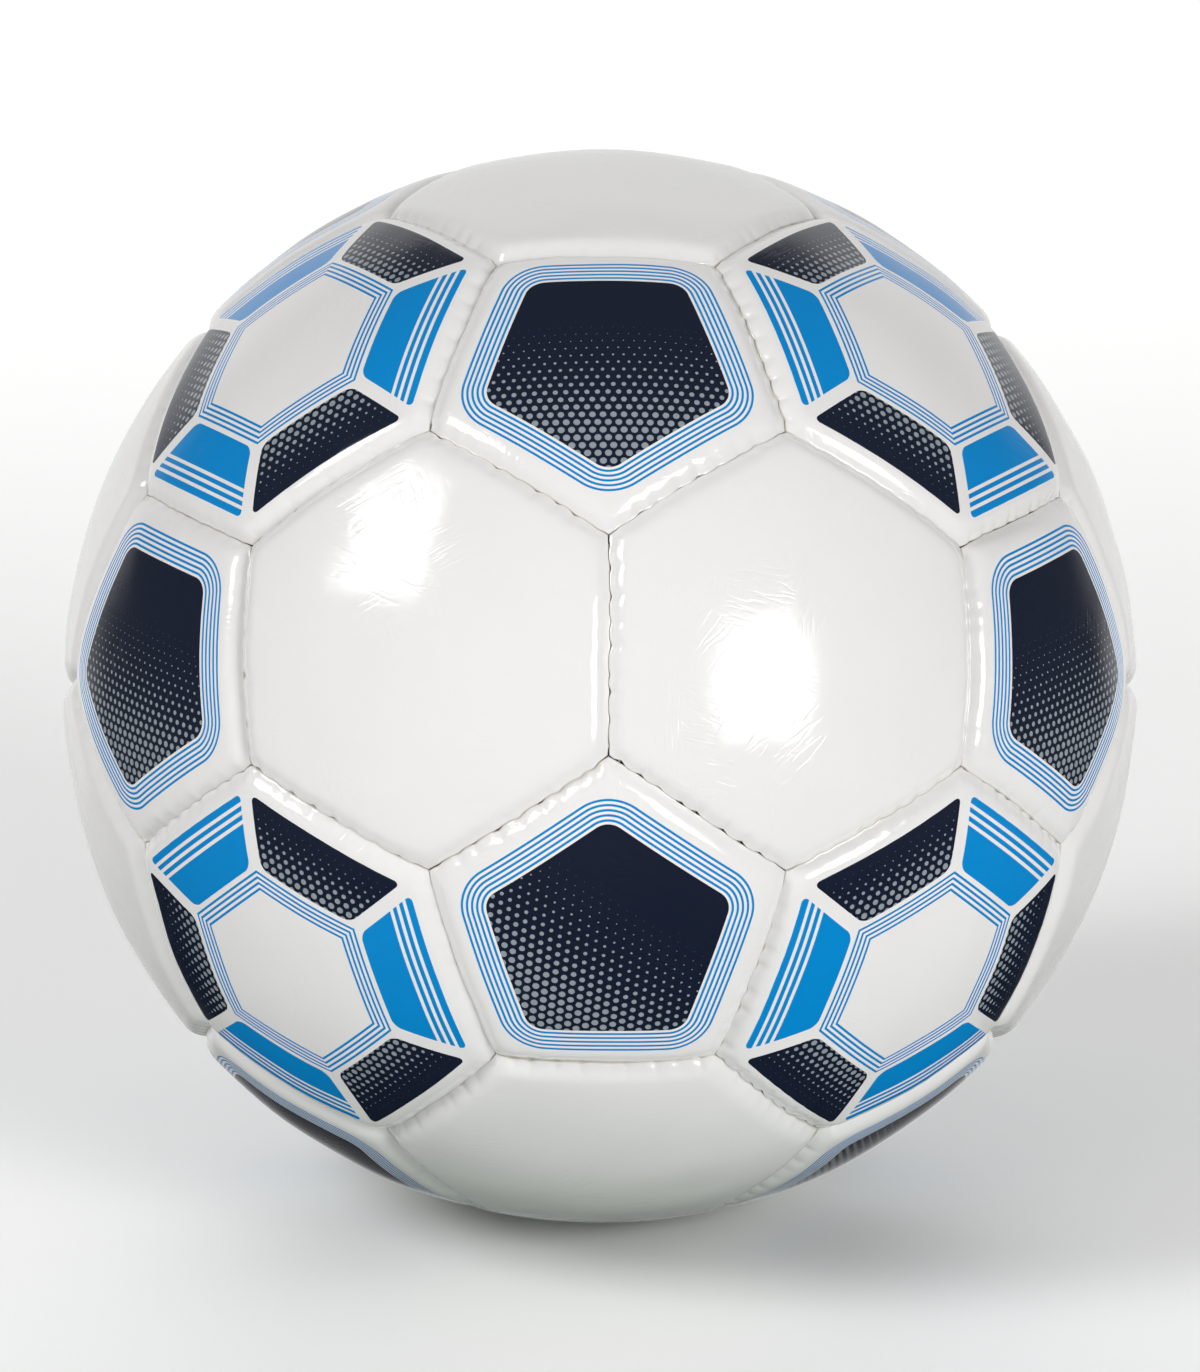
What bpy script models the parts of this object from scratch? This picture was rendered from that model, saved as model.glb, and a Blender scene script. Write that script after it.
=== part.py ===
"""A sound ball for blind players: a sewn cover of 32 panels over a rubber bladder, with a needle valve
and six tin capsules, each holding one loose steel pellet.

Metres, +Z up. The origin is the middle of the flat spot that the ball rests on.
"""

import itertools
import math

import bmesh
import bpy
from mathutils import Matrix, Vector

# Cover
DIAMETER = 0.210  # 66 cm round
PANEL_THICKNESS = 0.0026
SEAM_DEPTH = 0.0018  # from the crown of the panels down to the seam line
SHOULDER_WIDTH = 0.0055  # strip beside a seam that rolls down into it
FLANGE_DEPTH = 0.0042  # turned-in edge of a panel, from the seam line inwards
FLANGE_THICKNESS = 0.0022

# Bladder
BLADDER_WALL = 0.0010

# Valve
VALVE_HOLE_DIAMETER = 0.0096  # through the valve panel and the bladder
VALVE_LIP_WIDTH = 0.0012
VALVE_LIP_THICKNESS = 0.0007
VALVE_BASE_DIAMETER = 0.026
VALVE_BASE_THICKNESS = 0.0016
VALVE_BORE_DIAMETER = 0.0052
CORE_BULB_OVERLAP = 0.0009  # how far the core's bulb reaches past the bore that holds it
CORE_BULB_HEIGHT = 0.0035
NEEDLE_HOLE_DIAMETER = 0.0014
PATCH_DIAMETER = 0.030
PATCH_THICKNESS = 0.0008

# Sound capsules
CAPSULE_DIAMETER = 0.027
TIN_THICKNESS = 0.0005
DIMPLE_DIAMETER = 0.008  # foot of the cone pressed into the can's base
LID_SKIRT = 0.004
PELLET_DIAMETER = 0.007
POCKET_THICKNESS = 0.0007
POCKET_BRIM_WIDTH = 0.003

# Clearances
SEAM_GAP = 0.0003  # between the two turned-in edges of a seam
FIT = 0.0003  # between pieces that rest on each other
PELLET_PLAY = 0.0004  # between a pellet and each wall of its race

# Facets
CROWN_STEPS = 4
SHOULDER_STEPS = 2
INNER_STEPS = 2
TURNED_STEPS = 12
PELLET_STEPS = 2
MERGE_DISTANCE = 0.00001
SHARP_ANGLE = math.radians(35)

# Radii of the cover and the levels of the turned pieces that follow from the sizes above
RADIUS = DIAMETER / 2
FLANGE_TIP_RADIUS = RADIUS - SEAM_DEPTH - FLANGE_DEPTH
LINING_RADIUS = RADIUS - PANEL_THICKNESS
CAN_RADIUS = CAPSULE_DIAMETER / 2
CAN_HEIGHT = TIN_THICKNESS + PELLET_DIAMETER + 2 * PELLET_PLAY - FIT
LID_RADIUS = CAN_RADIUS + FIT + TIN_THICKNESS
LID_UNDERSIDE = 2 * FIT + CAN_HEIGHT
POCKET_INNER_RADIUS = LID_RADIUS + FIT
POCKET_RADIUS = POCKET_INNER_RADIUS + POCKET_THICKNESS
POCKET_TOP = LID_UNDERSIDE + TIN_THICKNESS + FIT + POCKET_THICKNESS
BRIM_RADIUS = POCKET_RADIUS + POCKET_BRIM_WIDTH
BRIM_TOP = FIT + POCKET_THICKNESS
SEAT_RADIUS = max(BRIM_RADIUS, PATCH_DIAMETER / 2) + FIT

# The panels lie on the faces of a truncated icosahedron: 12 pentagons and 20 hexagons.
GOLDEN = (1 + math.sqrt(5)) / 2
HEXAGON, PENTAGON = 6, 5
SAME_AXIS = 0.99  # two unit axes with a larger product than this are one axis


def signed_cycles(*numbers):
    """Unit vectors along three numbers in their cyclic orders, with every choice of signs."""
    found = []
    for turn in range(3):
        order = numbers[turn:] + numbers[:turn]
        for signs in itertools.product((1, -1), repeat=3):
            axis = Vector([sign * number for sign, number in zip(signs, order)]).normalized()
            if all(axis.dot(other) < SAME_AXIS for other in found):
                found.append(axis)
    return found


PENTAGON_AXES = signed_cycles(0, GOLDEN, 1)
CUBE_AXES = signed_cycles(1, 1, 1)
HEXAGON_AXES = CUBE_AXES + signed_cycles(1 / GOLDEN, GOLDEN, 0)

# Eight hexagons lie at the corners of a cube. One carries the valve, the one opposite is plain, and
# the other six carry the capsules in three opposite pairs, which keeps the ball balanced.
VALVE_AXIS = CUBE_AXES[0]
CAPSULE_AXES = [axis for axis in CUBE_AXES if abs(axis.dot(VALVE_AXIS)) < SAME_AXIS]

# The ball is turned about X until a hexagon lies flat underneath.
REST_TURN = Matrix.Rotation(-math.atan(1 / GOLDEN**2), 4, "X")


def panel_corner(axis):
    """Where three panels meet, at a corner of the panel on this axis."""
    near, next_near = sorted(PENTAGON_AXES, key=axis.dot, reverse=True)[:2]
    return (2 * near + next_near).normalized()


def panel_frame(axis):
    """A turn whose Z is a panel's axis and whose X points to one of its corners."""
    corner = panel_corner(axis)
    across = (corner - axis * corner.dot(axis)).normalized()
    return Matrix((across, axis.cross(across), axis)).transposed().to_4x4()


def edge_angle(sides):
    """The angle at the ball's centre from a panel's axis to the middle of its edge."""
    axis = HEXAGON_AXES[0] if sides == HEXAGON else PENTAGON_AXES[0]
    return math.atan(math.tan(panel_corner(axis).angle(axis)) * math.cos(math.pi / sides))


def arc(length):
    """The angle that a length along the cover spans at the ball's centre."""
    return length / RADIUS


def crown_edge(sides):
    """The angle from a panel's axis to where its face begins to roll into the seam."""
    return edge_angle(sides) - arc(SEAM_GAP / 2 + SHOULDER_WIDTH)


def corner_angle(sides, flat_angle):
    """The angle from a panel's axis to the corner of an outline with this angle to its edges."""
    return math.atan(math.tan(flat_angle) / math.cos(math.pi / sides))


def crown_level(sides):
    """The height of a panel's flat middle above the ball's centre."""
    flat_angle = math.atan(math.tan(crown_edge(sides)) / CROWN_STEPS)
    return RADIUS * math.cos(corner_angle(sides, flat_angle))


def seat_angle(sides):
    """The angle from a panel's axis to the edges of the flat seat on its lining."""
    corner = math.asin(SEAT_RADIUS / math.cos(math.pi / sides) / LINING_RADIUS)
    return math.atan(math.tan(corner) * math.cos(math.pi / sides))


SEAT_LEVEL = LINING_RADIUS * math.cos(corner_angle(HEXAGON, seat_angle(HEXAGON)))
BALL_CENTRE = Vector((0, 0, crown_level(HEXAGON)))


def polygon_ring(sides, flat_angle, radius, steps):
    """Points on a sphere along a panel's outline at this angle to its edges, with steps on each side."""
    reach = math.tan(corner_angle(sides, flat_angle))
    turns = [math.tau * side / sides for side in range(sides + 1)]
    corners = [Vector((reach * math.cos(turn), reach * math.sin(turn), 1)) for turn in turns]
    return [
        start.lerp(end, step / steps).normalized() * radius
        for start, end in zip(corners, corners[1:])
        for step in range(steps)
    ]


def circle_ring(radius, level):
    """Points on a circle about a panel's axis."""
    turns = [math.tau * step / TURNED_STEPS for step in range(TURNED_STEPS)]
    return [Vector((radius * math.cos(turn), radius * math.sin(turn), level)) for turn in turns]


def bridge(bm, upper, lower, sides):
    """Fills the band between two rings, each with a whole number of steps on each of the sides."""
    upper_steps, lower_steps = len(upper) // sides, len(lower) // sides
    for side in range(sides):
        up, low = 0, 0
        while up < upper_steps or low < lower_steps:
            from_upper = upper[(side * upper_steps + up) % len(upper)]
            from_lower = lower[(side * lower_steps + low) % len(lower)]
            if up == upper_steps or (low < lower_steps and (low + 1) * upper_steps <= (up + 1) * lower_steps):
                low += 1
                new = lower[(side * lower_steps + low) % len(lower)]
            else:
                up += 1
                new = upper[(side * upper_steps + up) % len(upper)]
            bm.faces.new((from_upper, from_lower, new))


def add_loft(bm, rings, sides, turn=Matrix()):
    """Lofts a face over the first ring and bands down to the last, whose vertices it returns."""
    loops = [[bm.verts.new(turn @ point) for point in ring] for ring in rings]
    bm.faces.new(loops[0])
    for upper, lower in zip(loops, loops[1:]):
        bridge(bm, upper, lower, sides)
    return loops[-1]


def finished_mesh(bm, name):
    """The mesh of a closed form, shaded smooth apart from its sharp edges."""
    bmesh.ops.recalc_face_normals(bm, faces=bm.faces)
    mesh = bpy.data.meshes.new(name)
    bm.to_mesh(mesh)
    bm.free()
    mesh.shade_smooth()
    mesh.set_sharp_from_angle(angle=SHARP_ANGLE)
    return mesh


def turned_mesh(name, profile, closed=False):
    """A solid turned about Z from (radius, height) points, from axis to axis or in a closed outline."""
    bm = bmesh.new()
    verts = [bm.verts.new((radius, 0, height)) for radius, height in profile]
    pairs = list(zip(verts, verts[1:]))
    if closed:
        pairs.append((verts[-1], verts[0]))
    edges = [bm.edges.new(pair) for pair in pairs]
    bmesh.ops.spin(
        bm, geom=verts + edges, axis=(0, 0, 1), angle=math.tau, steps=TURNED_STEPS, use_merge=True
    )
    bmesh.ops.remove_doubles(bm, verts=bm.verts, dist=MERGE_DISTANCE)
    return finished_mesh(bm, name)


def material(name, colour, roughness, metallic=0.0):
    """A plain finish with its colour, roughness and metallic value."""
    made = bpy.data.materials.new(name)
    made.use_nodes = True
    made.diffuse_color = (*colour, 1)
    shader = made.node_tree.nodes["Principled BSDF"]
    shader.inputs["Base Color"].default_value = (*colour, 1)
    shader.inputs["Roughness"].default_value = roughness
    shader.inputs["Metallic"].default_value = metallic
    return made


def place(name, data, finish, parent, matrix=Matrix()):
    """Adds one named piece, placed within its parent's frame."""
    piece = bpy.data.objects.new(name, data)
    bpy.context.scene.collection.objects.link(piece)
    piece.parent = parent
    piece.matrix_basis = matrix
    if finish:
        data.materials.clear()
        data.materials.append(finish)
    return piece


def panel_mesh(name, sides):
    """One panel: a crowned face, shoulders that roll into the seams, and edges turned in for sewing."""
    outside = edge_angle(sides) - arc(SEAM_GAP / 2)
    inside = outside - arc(FLANGE_THICKNESS)
    crown = crown_edge(sides)
    rings = []
    for step in range(1, CROWN_STEPS + 1):
        flat_angle = math.atan(math.tan(crown) * step / CROWN_STEPS)
        rings.append(polygon_ring(sides, flat_angle, RADIUS, step))
    for step in range(1, SHOULDER_STEPS + 1):
        roll = math.pi / 2 * step / SHOULDER_STEPS
        flat_angle = crown + arc(SHOULDER_WIDTH) * math.sin(roll)
        drop = SEAM_DEPTH * (1 - math.cos(roll))
        rings.append(polygon_ring(sides, flat_angle, RADIUS - drop, CROWN_STEPS))
    rings.append(polygon_ring(sides, outside, FLANGE_TIP_RADIUS, INNER_STEPS))
    rings.append(polygon_ring(sides, inside, FLANGE_TIP_RADIUS, INNER_STEPS))
    rings.append(polygon_ring(sides, inside, LINING_RADIUS, INNER_STEPS))
    rings.append(polygon_ring(sides, seat_angle(sides), LINING_RADIUS, 1))
    bm = bmesh.new()
    bm.faces.new(reversed(add_loft(bm, rings, sides)))
    return finished_mesh(bm, name)


def bladder_middle(axis, sides):
    """The rings of the bladder under the middle of one panel, pressed in by what lies on the lining."""
    if axis in CAPSULE_AXES:
        reach = POCKET_RADIUS + FIT
        return [
            circle_ring(reach, SEAT_LEVEL - POCKET_TOP - FIT),
            circle_ring(reach, SEAT_LEVEL - BRIM_TOP - FIT),
        ]
    if axis == VALVE_AXIS:
        return [circle_ring(PATCH_DIAMETER / 2 + FIT, SEAT_LEVEL - 2 * FIT - PATCH_THICKNESS)]
    return [polygon_ring(sides, seat_angle(sides), LINING_RADIUS - FIT, 1)]


def bladder_mesh(name):
    """The bladder's outer skin: it swells into each panel and is drawn in under the sewn edges."""
    bm = bmesh.new()
    for axis in HEXAGON_AXES + PENTAGON_AXES:
        sides = HEXAGON if axis in HEXAGON_AXES else PENTAGON
        under_flange = edge_angle(sides) - arc(SEAM_GAP / 2 + FLANGE_THICKNESS + FIT)
        rings = bladder_middle(axis, sides)
        rings.append(polygon_ring(sides, under_flange, FLANGE_TIP_RADIUS - FIT, INNER_STEPS))
        rings.append(polygon_ring(sides, edge_angle(sides), FLANGE_TIP_RADIUS - FIT, INNER_STEPS))
        add_loft(bm, rings, sides, panel_frame(axis))
    bmesh.ops.remove_doubles(bm, verts=bm.verts, dist=MERGE_DISTANCE)
    return finished_mesh(bm, name)


def can_mesh(name):
    """The capsule's tin base, with a pressed cone that keeps the pellet in a round race."""
    floor = FIT + TIN_THICKNESS
    bore = CAN_RADIUS - TIN_THICKNESS
    dimple = DIMPLE_DIAMETER / 2
    dimple_top = LID_UNDERSIDE - FIT
    return turned_mesh(
        name,
        [
            (0, dimple_top - 2 * TIN_THICKNESS),
            (dimple - TIN_THICKNESS, FIT),
            (CAN_RADIUS, FIT),
            (CAN_RADIUS, FIT + CAN_HEIGHT),
            (bore, FIT + CAN_HEIGHT),
            (bore, floor),
            (dimple, floor),
            (0, dimple_top),
        ],
    )


def lid_mesh(name):
    """The capsule's slip-on lid."""
    skirt_end = LID_UNDERSIDE - LID_SKIRT
    return turned_mesh(
        name,
        [
            (0, LID_UNDERSIDE),
            (LID_RADIUS - TIN_THICKNESS, LID_UNDERSIDE),
            (LID_RADIUS - TIN_THICKNESS, skirt_end),
            (LID_RADIUS, skirt_end),
            (LID_RADIUS, LID_UNDERSIDE + TIN_THICKNESS),
            (0, LID_UNDERSIDE + TIN_THICKNESS),
        ],
    )


def pocket_mesh(name):
    """The fabric pocket over a capsule, whose brim is glued to the lining."""
    ceiling = POCKET_TOP - POCKET_THICKNESS
    return turned_mesh(
        name,
        [
            (0, ceiling),
            (POCKET_INNER_RADIUS, ceiling),
            (POCKET_INNER_RADIUS, FIT),
            (BRIM_RADIUS, FIT),
            (BRIM_RADIUS, BRIM_TOP),
            (POCKET_RADIUS, BRIM_TOP),
            (POCKET_RADIUS, POCKET_TOP),
            (0, POCKET_TOP),
        ],
    )


def pellet_mesh(name):
    """A steel pellet at its place in the race, off the capsule's axis."""
    radius = PELLET_DIAMETER / 2
    orbit = CAN_RADIUS - TIN_THICKNESS - PELLET_PLAY - radius
    level = FIT + TIN_THICKNESS + PELLET_PLAY + radius
    bm = bmesh.new()
    bmesh.ops.create_icosphere(
        bm,
        subdivisions=PELLET_STEPS,
        radius=radius,
        matrix=Matrix.Translation((orbit, 0, level)),
    )
    return finished_mesh(bm, name)


# Levels of the valve, inwards from the lining's seat
PANEL_FACE = SEAT_LEVEL - crown_level(HEXAGON)
LIP_TOP = PANEL_FACE - FIT - VALVE_LIP_THICKNESS
BASE_LEVEL = 3 * FIT + PATCH_THICKNESS + BLADDER_WALL
BASE_END = BASE_LEVEL + VALVE_BASE_THICKNESS
CORE_TOP = LIP_TOP + FIT
BULB_START = BASE_END + FIT


def valve_body_mesh(name):
    """The valve's rubber body: a lip on the panel, a neck through it and a base inside the bladder."""
    bore = VALVE_BORE_DIAMETER / 2
    neck = VALVE_HOLE_DIAMETER / 2 - FIT
    lip = VALVE_HOLE_DIAMETER / 2 + VALVE_LIP_WIDTH
    return turned_mesh(
        name,
        [
            (bore, LIP_TOP),
            (lip, LIP_TOP),
            (lip, PANEL_FACE - FIT),
            (neck, PANEL_FACE - FIT),
            (neck, BASE_LEVEL),
            (VALVE_BASE_DIAMETER / 2, BASE_LEVEL),
            (VALVE_BASE_DIAMETER / 2, BASE_END),
            (bore, BASE_END),
        ],
        closed=True,
    )


def valve_core_mesh(name):
    """The soft core with the needle hole, held in the bore by the bulb at its inner end."""
    stem = VALVE_BORE_DIAMETER / 2 - FIT
    bulb = VALVE_BORE_DIAMETER / 2 + CORE_BULB_OVERLAP
    needle = NEEDLE_HOLE_DIAMETER / 2
    return turned_mesh(
        name,
        [
            (needle, CORE_TOP),
            (stem, CORE_TOP),
            (stem, BULB_START),
            (bulb, BULB_START),
            (stem, BULB_START + CORE_BULB_HEIGHT),
            (needle, BULB_START + CORE_BULB_HEIGHT),
        ],
        closed=True,
    )


def valve_patch_mesh(name):
    """The ring of rubbered fabric that stiffens the lining round the valve hole."""
    hole = VALVE_HOLE_DIAMETER / 2
    return turned_mesh(
        name,
        [
            (hole, FIT),
            (PATCH_DIAMETER / 2, FIT),
            (PATCH_DIAMETER / 2, FIT + PATCH_THICKNESS),
            (hole, FIT + PATCH_THICKNESS),
        ],
        closed=True,
    )


def valve_hole_cutter(parent):
    """A guide cylinder that cuts the valve hole through the panel and the bladder."""
    start, end = LIP_TOP - FIT, BASE_END + FIT
    mesh = turned_mesh(
        "valve_hole",
        [
            (0, start),
            (VALVE_HOLE_DIAMETER / 2, start),
            (VALVE_HOLE_DIAMETER / 2, end),
            (0, end),
        ],
    )
    cutter = place("valve_hole", mesh, None, parent)
    cutter.hide_render = True
    cutter.display_type = "WIRE"
    return cutter


def cut(piece, cutter):
    """Cuts the guide's form out of a piece."""
    boolean = piece.modifiers.new("valve_hole", "BOOLEAN")
    boolean.operation = "DIFFERENCE"
    boolean.object = cutter


def lining_frame(axis):
    """A frame on the seat of a panel's lining, with Z towards the ball's centre."""
    return panel_frame(axis) @ Matrix.Translation((0, 0, SEAT_LEVEL)) @ Matrix.Rotation(math.pi, 4, "X")


def empty(name, parent, matrix):
    """An empty that carries the pieces of one sub-assembly."""
    return place(name, None, None, parent, matrix)


def from_the_top(axes):
    """Panel axes in the order of their height on the resting ball, then round it."""
    rested = {tuple(axis): REST_TURN @ axis for axis in axes}

    def order(axis):
        x, y, z = rested[tuple(axis)]
        return round(-z, 3), round(math.atan2(y, x), 3)

    return sorted(axes, key=order)


def build_cover(ball, cutter):
    """The 32 panels, with the valve hole cut in one of them."""
    kinds = (
        ("hex_panel", HEXAGON, HEXAGON_AXES, material("white_cover", (0.84, 0.84, 0.82), 0.2)),
        ("pent_panel", PENTAGON, PENTAGON_AXES, material("navy_cover", (0.012, 0.018, 0.05), 0.2)),
    )
    for name, sides, axes, finish in kinds:
        mesh = panel_mesh(name, sides)
        for number, axis in enumerate(from_the_top(axes), 1):
            panel = place(f"{name}_{number:02d}", mesh, finish, ball, panel_frame(axis))
            if axis == VALVE_AXIS:
                cut(panel, cutter)


def build_bladder(ball, cutter):
    """The hollow bladder, open at the valve."""
    rubber = material("bladder_rubber", (0.03, 0.03, 0.032), 0.6)
    bladder = place("bladder", bladder_mesh("bladder"), rubber, ball)
    wall = bladder.modifiers.new("wall", "SOLIDIFY")
    wall.thickness = BLADDER_WALL
    wall.offset = -1
    wall.use_even_offset = True
    cut(bladder, cutter)


def build_valve(valve):
    """The three pieces of the valve."""
    rubber = material("valve_rubber", (0.02, 0.02, 0.022), 0.55)
    core_rubber = material("core_rubber", (0.05, 0.05, 0.055), 0.45)
    patch_fabric = material("patch_fabric", (0.55, 0.53, 0.48), 0.85)
    place("valve_body", valve_body_mesh("valve_body"), rubber, valve)
    place("valve_core", valve_core_mesh("valve_core"), core_rubber, valve)
    place("valve_patch", valve_patch_mesh("valve_patch"), patch_fabric, valve)


def build_capsules(ball):
    """Six capsules in their pockets, each with its pellet at the lowest place in the race."""
    tin = material("tinplate", (0.62, 0.62, 0.60), 0.35, 1.0)
    steel = material("pellet_steel", (0.56, 0.57, 0.58), 0.2, 1.0)
    fabric = material("pocket_fabric", (0.72, 0.70, 0.64), 0.9)
    can, lid = can_mesh("capsule_can"), lid_mesh("capsule_lid")
    pocket, pellet = pocket_mesh("capsule_pocket"), pellet_mesh("capsule_pellet")
    for number, axis in enumerate(from_the_top(CAPSULE_AXES), 1):
        frame = lining_frame(axis)
        capsule = empty(f"capsule_axis_{number}", ball, frame)
        place(f"capsule_can_{number}", can, tin, capsule)
        place(f"capsule_lid_{number}", lid, tin, capsule)
        place(f"capsule_pocket_{number}", pocket, fabric, capsule)
        down = (REST_TURN @ frame).to_3x3().inverted() @ Vector((0, 0, -1))
        lowest = Matrix.Rotation(math.atan2(down.y, down.x), 4, "Z")
        place(f"capsule_pellet_{number}", pellet, steel, capsule, lowest)


def build_ball():
    """The whole ball, standing on its lowest hexagon."""
    for old in list(bpy.data.objects):
        bpy.data.objects.remove(old, do_unlink=True)
    ball = empty("ball_centre", None, Matrix.Translation(BALL_CENTRE) @ REST_TURN)
    valve = empty("valve_axis", ball, lining_frame(VALVE_AXIS))
    cutter = valve_hole_cutter(valve)
    build_cover(ball, cutter)
    build_bladder(ball, cutter)
    build_valve(valve)
    build_capsules(ball)
    bpy.context.view_layer.update()


build_ball()
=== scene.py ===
"""Looks of the sound ball: glossy sewn panels with printed shapes, their thread and the valve.

Metres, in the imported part's frame. Each panel is rebuilt as a fine closed shell that swells between its
seams. A seam has its own stitches, and the two panels beside it share them.
"""

import itertools
import math

import bmesh
import bpy
import numpy as np
from mathutils import Matrix, Vector


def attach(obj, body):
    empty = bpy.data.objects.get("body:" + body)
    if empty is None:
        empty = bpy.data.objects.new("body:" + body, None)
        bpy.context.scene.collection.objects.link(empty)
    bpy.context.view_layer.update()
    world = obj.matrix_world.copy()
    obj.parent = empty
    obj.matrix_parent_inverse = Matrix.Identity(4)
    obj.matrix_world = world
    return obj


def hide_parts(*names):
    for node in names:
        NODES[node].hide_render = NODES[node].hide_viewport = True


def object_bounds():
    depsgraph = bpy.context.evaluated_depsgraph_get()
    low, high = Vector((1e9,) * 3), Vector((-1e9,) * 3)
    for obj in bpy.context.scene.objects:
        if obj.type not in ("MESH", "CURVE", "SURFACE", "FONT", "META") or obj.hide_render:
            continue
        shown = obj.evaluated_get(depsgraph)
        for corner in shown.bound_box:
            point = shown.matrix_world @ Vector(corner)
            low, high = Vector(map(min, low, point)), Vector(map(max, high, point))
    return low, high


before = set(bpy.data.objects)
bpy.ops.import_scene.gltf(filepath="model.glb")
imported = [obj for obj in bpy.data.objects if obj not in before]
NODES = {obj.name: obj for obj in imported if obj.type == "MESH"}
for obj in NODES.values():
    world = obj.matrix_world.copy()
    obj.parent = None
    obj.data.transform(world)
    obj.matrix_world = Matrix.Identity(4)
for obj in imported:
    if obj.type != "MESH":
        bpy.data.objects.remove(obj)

CAD_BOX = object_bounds()
MM = 0.001
SEED = 32

# Camera, in the frame's directions, and its distance from the middle of the ball
CAMERA_ELEVATION = math.radians(16.548)
CAMERA_AZIMUTH = math.radians(-0.948)
CAMERA_ROLL = math.radians(0.377)
CAMERA_DISTANCE = 2.2536
CAMERA_LENS = 301.88
SENSOR_WIDTH = 36.0

# Two soft boxes: direction from the ball in the camera's right, up and back, and size
SOFTBOX_DISTANCE = 3.0
SOFTBOX_WIDTH = 1.24
SOFTBOX_HEIGHT = 1.58
EDGE_FADE = 0.25  # share of a box, from each edge, over which its light grows
LEFT_BOX = (-0.673, 0.474, 0.567)
LEFT_RADIANCE = 5.2
RIGHT_BOX = (0.562, 0.039, 0.826)
RIGHT_RADIANCE = 6.1
BACK_FILL = (0.0, 0.976, 0.218)  # direction of a plain light behind the ball, in the frame
BACK_FILL_SIZE = 1.5
BACK_FILL_RADIANCE = 3.2
FRONT_LEVEL = 0.30  # surroundings on the camera's side
REFLECTED_LEVEL = 0.08  # the same surroundings as the gloss mirrors them
BACK_LEVEL = 0.84  # pale backdrop behind the ball
BACKDROP_EDGE = (0.6, 0.85)  # where the backdrop begins, as the share of a direction that points back
LOW_LEVEL = 0.15  # share of the surroundings that the gloss mirrors from below the ball
LOW_EDGE = (-0.6, -0.2)  # where they fall off, as the share of a direction that points up
FLOOR_SIZE = 12.0
FLOOR_PALE = (0.92, 0.92, 0.915)
FLOOR_SHADE = (0.90, 0.90, 0.895)
FLOOR_ROUGHNESS = 0.8
PAINTED_BOUNCE_SHADE = (0.42, 0.50, 0.445)  # darker, greenish floor colour that only bounced light sees near the ball: painted shade on its underside
BOUNCE_REACH = (0.04, 0.20)  # from the foot of the ball, where that colour begins and ends to fade
FLOOR_LIGHTS = 6  # in a ring round the ball, for the floor alone
FLOOR_LIGHT_RING = 0.95
FLOOR_LIGHT_SIZE = 0.7
FLOOR_LIGHT_HEIGHT = 0.35
FLOOR_LIGHT_RADIANCE = 0.55

# Cover
SEAM_DEPTH = 2.3 * MM  # from the crown of a panel down to the seam line
SHOULDER_WIDTH = 5.0 * MM  # strip beside a seam that rolls down into it
SHOULDER_POWER = 2.6  # how gently the roll begins
SEAM_ROUNDING = 0.35 * MM  # softness of the valley that two panels meet in
CORNER_ROUNDING = 2.0 * MM
PANEL_THICKNESS = 2.6 * MM
FLANGE_TIP_DEPTH = 6.0 * MM
FLANGE_THICKNESS = 2.2 * MM
FLANGE_GAP = 0.15 * MM
SLIT_DEPTH = 1.0 * MM  # foot of the slit between two panels, from the seam line inwards
WALL_DEPTH = 2.0 * MM  # from there the edges lie side by side
SEAT_REACH = 25.5 * MM  # holds the corners of the flat seat on a lining, but not the lining's edge
SEAM_SHADE_WIDTH = 0.2 * MM
UNDULATION = 0.055 * MM  # slow unevenness of the faces
UNDULATION_LENGTHS = (14 * MM, 38 * MM)
UNDULATION_WAVES = 7

# Sewing
STITCHES = 9  # on each seam
STITCH_JITTER = 0.012  # as a share of the seam
JITTER_LIMIT = 0.03
SEAM_HALF_GAP = 0.04 * MM
SLIT_HALF_GAP = 0.28 * MM
SLIT_HALF_LENGTH = 0.75 * MM
SLIT_SPREAD = (0.5, 0.6)  # mean and deviation of a stitch's share of the slit's gap
SLIT_LIMIT = 1.5
CORNER_HALF_GAP = 0.07 * MM
CORNER_HALF_LENGTH = 1.0 * MM
BUMP = 0.42 * MM  # how far a stitch draws one panel's edge over the other's
BUMP_LENGTH = 1.05 * MM
BUMP_RANGE = (0.5, 1.3)  # from stitch to stitch
LEAN_RANGE = (0.25, 1.0)  # from seam to seam, to either side
WANDER = 0.10 * MM  # slow drift of the seam line
WANDER_WAVES = 3
DIMPLE_DEPTH = 0.09 * MM  # where a stitch pulls the edge down
DIMPLE_LENGTH = 1.1 * MM
DIMPLE_WIDTH = 0.9 * MM
PULL_RANGE = (0.55, 1.35)  # of the dimples, from stitch to stitch
PUCKER = 0.02 * MM  # swelling between stitches
PUCKER_REACH = 2.2 * MM
SEAM_SWELL_RANGE = (0.1, 0.7)  # from seam to seam
SWELL_RANGE = (0.4, 1.5)  # from stitch to stitch
SHADE_RANGE = (0.1, 0.65)  # how strongly the seams are shaded
STEP = 0.13 * MM  # one panel's edge stands higher than the other's
STEP_REACH = 3.0 * MM
SHIFT_REACH = 5.0 * MM
CORNER_FADE = 3.0 * MM
THREAD_DIAMETER = 0.5 * MM
THREAD_DEPTH = 3.4 * MM

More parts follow.
